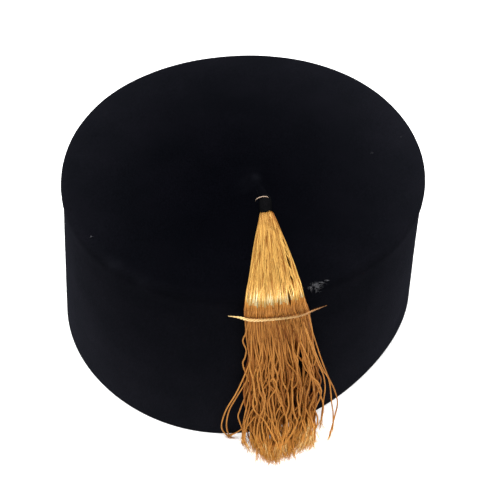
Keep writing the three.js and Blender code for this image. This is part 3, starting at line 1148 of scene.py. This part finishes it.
fibre_routes = []
fibre_tones = []
for tip, direction, tone in yarn_tips:
    for _ in range(FIBRES_AT_TIP):
        fibre_routes.append(fray(tip, direction))
        # Painted glints make the fibres paler towards the right.
        glint = PAINTED_GLINT * ease((tip.x - GLINT_FROM_X) / GLINT_BAND)
        fibre_tones.append(min(1, tone * 0.6 + 0.55 * rng.random() ** 1.5 + glint))
for x, y, turn in WISPS:
    heading = Vector((math.sin(math.radians(turn)), -math.cos(math.radians(turn)), 0))
    for _ in range(FIBRES_IN_WISP):
        place = Vector((x + rng.gauss(0, 0.8), y + rng.gauss(0, 1.2), WISP_HEIGHT))
        fibre_routes.append(fray(place, heading))
        fibre_tones.append(1.0)
fibre_widths = [FIBRE_WIDTHS] * len(fibre_routes)
fray_mesh = thread_mesh("frayed_ends", fibre_routes, fibre_widths, 4, fibre_tones)
finish_piece("frayed_ends", fray_mesh, [frayed_rayon])

# %% [markdown]
# ## Stay thread
#
# One thick twisted thread lies across the tassel just below the rim and holds it to the
# felt. It is two plies wound round each other, so it is modelled as two tubes that circle
# one route, a few turns for each centimetre. The route's rows are x, height and how far it
# stands off the felt, as they are for the stray yarns.

# %% Stay thread
STAY = [
    (-2.0, 83.3, 0.8),
    (2.4, 84.0, 2.2),
    (9.0, 85.1, 5.2),
    (19.0, 84.6, 5.4),
    (29.0, 83.5, 5.2),
    (35.5, 81.9, 2.8),
    (41.8, 79.9, 0.8),
]
STAY_RADIUS_LEFT = 0.72
STAY_RADIUS_RIGHT = 0.41
STAY_STEP = 0.35
STAY_TAPER = 9.0
STAY_TURN = 3.2


def ply_routes(centre, radii, turn_length, plies=2):
    """Tubes that circle a route, side by side. Returns their points and widths."""
    points = [Vector(point) for point in centre]
    routes = [[] for _ in range(plies)]
    widths = [[] for _ in range(plies)]
    run = 0
    for i, point in enumerate(points):
        ahead = points[min(i + 1, len(points) - 1)]
        behind = points[max(i - 1, 0)]
        along = (ahead - behind).normalized()
        across = along.cross(Vector((0, 0, 1))).normalized()
        up = across.cross(along)
        if i:
            run += (point - points[i - 1]).length
        for ply in range(plies):
            turn = 2 * math.pi * (run / turn_length + ply / plies)
            offset = radii[i] * 0.5
            sideways = across * math.cos(turn) * offset
            routes[ply].append(point + sideways + up * math.sin(turn) * offset)
            widths[ply].append(radii[i] * 0.56)
    return routes, widths


stay_centre, _ = smooth_route([(x, wall_front(x, z) - off, z) for x, z, off in STAY], STAY_STEP)
stay_radii = []
stay_painted_highlight = []
for i in range(len(stay_centre)):
    from_end = min(i, len(stay_centre) - 1 - i) * STAY_STEP
    part = i / (len(stay_centre) - 1)
    thick = mix(STAY_RADIUS_LEFT, STAY_RADIUS_RIGHT, ease(part))
    stay_radii.append(thick * mix(0.25, 1, ease(from_end / STAY_TAPER)))
    # Painted highlight: the stay is palest along its left part and darker towards its right end.
    stay_painted_highlight.append(mix(1.0, 0.0, ease((part - 0.15) / 0.75)))
stay_routes, stay_widths = ply_routes(stay_centre, stay_radii, STAY_TURN)
stay_gold = thread_material("stay_gold", [(0, (0.30, 0.13, 0.035)), (1, (0.98, 0.68, 0.29))], 0.4)
stay_mesh = thread_mesh("stay_twist", stay_routes, stay_widths, 8, [stay_painted_highlight, stay_painted_highlight])
finish_piece("stay_twist", stay_mesh, [stay_gold], ["tassel_stay"])

# %% [markdown]
# ## Neck
#
# The head of the tassel is bound with black thread in close turns, so the neck is a long
# coil round a core. The core is a plain tube that closes the gaps between the turns.

# %% Neck
NECK_X = 15.6
NECK_START = -31.2
NECK_END = -42.2
NECK_RADIUS = 3.0
NECK_Z = HEIGHT + LIFT + NECK_RADIUS
BINDING_RADIUS = 0.27
BINDING_TURNS = 15
STEPS_IN_TURN = 20
CORE_STEPS = 12
BLACK = [(0.0, (0.0012, 0.0012, 0.0018)), (1.0, (0.0035, 0.0035, 0.0048))]


def neck_radius_at(part):
    return NECK_RADIUS * (1 - 0.13 * (2 * abs(part - 0.45)) ** 3)


binding = []
for i in range(BINDING_TURNS * STEPS_IN_TURN + 1):
    part = i / (BINDING_TURNS * STEPS_IN_TURN)
    turn = 2 * math.pi * i / STEPS_IN_TURN
    reach = neck_radius_at(part) - BINDING_RADIUS
    binding.append(Vector((
        NECK_X + reach * math.cos(turn),
        mix(NECK_START, NECK_END, part),
        NECK_Z + reach * math.sin(turn),
    )))
core_parts = [i / CORE_STEPS for i in range(CORE_STEPS + 1)]
core = [Vector((NECK_X, mix(NECK_START, NECK_END, part), NECK_Z)) for part in core_parts]
core_widths = [neck_radius_at(part) - 1.5 * BINDING_RADIUS for part in core_parts]
black_thread = thread_material("black_thread", BLACK, 0.7, 0.05)
neck_widths = [[BINDING_RADIUS] * len(binding), core_widths]
neck_mesh = thread_mesh("neck_binding", [binding, core], neck_widths, 8, [0.6, 0.2])
finish_piece("neck_binding", neck_mesh, [black_thread], ["tassel_neck"])

# %% [markdown]
# ## Loop
#
# A thin gold thread arcs over the neck. It is twisted like the stay thread, and the same
# helper winds its two plies. Both its ends taper, as if they went down beside the neck.

# %% Loop
LOOP_RADIUS = 0.24
LOOP_STEP = 0.25
LOOP_TURN = 1.6
LOOP = [
    (10.9, -32.3, NECK_Z - 0.2),
    (11.5, -32.6, NECK_Z + 1.3),
    (13.1, -32.9, NECK_Z + NECK_RADIUS - 0.35),
    (14.9, -33.0, NECK_Z + NECK_RADIUS + 0.25),
    (16.4, -32.9, NECK_Z + NECK_RADIUS - 0.1),
    (17.5, -32.8, NECK_Z + NECK_RADIUS - 1.2),
]
loop_centre, _ = smooth_route(LOOP, LOOP_STEP)
loop_last = len(loop_centre) - 1
loop_radii = []
for i in range(loop_last + 1):
    from_end = min(i, loop_last - i)
    loop_radii.append(LOOP_RADIUS * mix(0.35, 1, ease(4 * from_end / loop_last)))
loop_routes, loop_widths = ply_routes(loop_centre, loop_radii, LOOP_TURN)
loop_gold = thread_material("loop_gold", [(0, (0.42, 0.30, 0.22)), (1, (0.62, 0.47, 0.36))], 0.5)
loop_mesh = thread_mesh("loop_twist", loop_routes, loop_widths, 8, [0.6, 0.8])
finish_piece("loop_twist", loop_mesh, [loop_gold], ["neck_loop"])

# %% [markdown]
# ## Stem
#
# The short felt cord that carries the tassel rises softly from the top and runs into the
# neck. It wears the same felt as the crown, so it carries the same two attributes, which
# stand for a cord without worn places or painted highlights and with one even level of
# painted shade.

# %% Stem
# The stem takes one even painted light, close to the darkest painted shade of the top.
STEM_PAINTED_LIGHT = 0.14
STEM_RADIUS_AT_FELT = 1.4
STEM_RADIUS_AT_NECK = 2.5
STEM_STEP = 0.6
STEM = [
    (12.2, -17.5, HEIGHT + 0.4),
    (13.2, -22.0, HEIGHT + 1.6),
    (15.4, -31.4, NECK_Z - 0.2),
]
stem_centre, _ = smooth_route(STEM, STEM_STEP)
stem_last = len(stem_centre) - 1
stem_parts = [ease(i / stem_last) for i in range(stem_last + 1)]
stem_widths = [mix(STEM_RADIUS_AT_FELT, STEM_RADIUS_AT_NECK, part) for part in stem_parts]
stem_mesh = thread_mesh("stem_cord", [stem_centre], [stem_widths], 16, [0.5])
stem_mesh.attributes.new("wear_and_highlight", "FLOAT", "POINT")
stem_painted_light = stem_mesh.attributes.new("painted_light", "FLOAT", "POINT")
stem_painted_light.data.foreach_set("value", [STEM_PAINTED_LIGHT] * len(stem_mesh.vertices))
finish_piece("stem_cord", stem_mesh, [black_felt], ["crown_stem"])

# %% [markdown]
# ## Lint and dust
#
# Black felt collects lint. One small tuft with a thin tail lies on the rim beside the
# tassel, its fibres combed one way, and a few specks sit elsewhere. They are fine pale
# fibres on the felt, scattered from named places with the same seeded random numbers.

# %% Lint and dust
LINT = [
    {"x": 36.3, "y": -82.3, "heading": 28, "turn": 20, "wide": 1.5, "deep": 0.8, "count": 150, "length": 1.0},
    {"x": 38.4, "y": -80.9, "heading": 14, "turn": 5, "wide": 0.9, "deep": 0.16, "count": 18, "length": 1.4},
    {"x": 40.8, "y": -79.9, "heading": 20, "turn": 5, "wide": 0.9, "deep": 0.12, "count": 14, "length": 1.4},
    {"x": 33.6, "y": -83.8, "heading": 40, "turn": 12, "wide": 1.0, "deep": 0.5, "count": 20, "length": 1.2},
    {"x": -64.4, "y": -50.9, "heading": 70, "turn": 90, "wide": 0.3, "deep": 0.3, "count": 16, "length": 0.5},
    {"x": 85.0, "y": 15.5, "heading": 120, "turn": 60, "wide": 0.4, "deep": 0.4, "count": 5, "length": 0.6},
    {"x": 69.5, "y": 3.5, "heading": 40, "turn": 60, "wide": 0.8, "deep": 0.5, "count": 4, "length": 0.6},
]
LINT_RADIUS = 0.04
LINT_STEPS = 5
LINT_GAP = 0.12
LINT_ARCH = 0.35
LINT_DARK = (0.03, 0.03, 0.035)
LINT_PALE = (0.14, 0.14, 0.15)
FRONT_REACH = 80.0


def drop_at(place):
    """How far the felt curves down below its top where it nears the front of the rim."""
    if abs(place.x - LEAN_X) >= FRONT_REACH:
        return 0
    over = wall_front(place.x, HEIGHT - RIM_ROUNDING) + RIM_ROUNDING - place.y
    over = min(RIM_ROUNDING, max(0, over))
    return RIM_ROUNDING - math.sqrt(RIM_ROUNDING ** 2 - over ** 2)


def lint_fibre(spot):
    heading = math.radians(spot["heading"] + rng.gauss(0, spot["turn"]))
    x = rng.gauss(spot["x"], spot["wide"] / 1.6)
    y = rng.gauss(spot["y"], spot["deep"] / 1.6)
    place = Vector((x, y, 0))
    length = spot["length"] * rng.uniform(0.4, 1.1)
    bend = rng.gauss(0, 0.25)
    points = []
    for step in range(LINT_STEPS + 1):
        part = step / LINT_STEPS
        turn = heading + bend * part
        place = place + Vector((math.cos(turn), math.sin(turn), 0)) * length / LINT_STEPS
        lift = LINT_GAP + LINT_ARCH * math.sin(math.pi * part)
        points.append(Vector((place.x, place.y, HEIGHT + lift - drop_at(place))))
    return points


lint_routes = []
for spot in LINT:
    lint_routes += [lint_fibre(spot) for _ in range(spot["count"])]
lint_widths = [[LINT_RADIUS] * (LINT_STEPS + 1)] * len(lint_routes)
pale_lint, lint_tree, lint_shader = new_material("pale_lint", 0.9, Specular_IOR_Level=0.1)
lint_tone = add_node(lint_tree, "ShaderNodeAttribute")
lint_tone.attribute_name = "tone"
lint_colour = add_ramp(lint_tree, lint_tone.outputs["Fac"], [(0, LINT_DARK), (1, LINT_PALE)])
lint_tree.links.new(lint_colour, lint_shader.inputs["Base Color"])
lint_tones = [rng.random() for _ in lint_routes]
lint_mesh = thread_mesh("lint_fibres", lint_routes, lint_widths, 4, lint_tones)
finish_piece("lint_fibres", lint_mesh, [pale_lint])
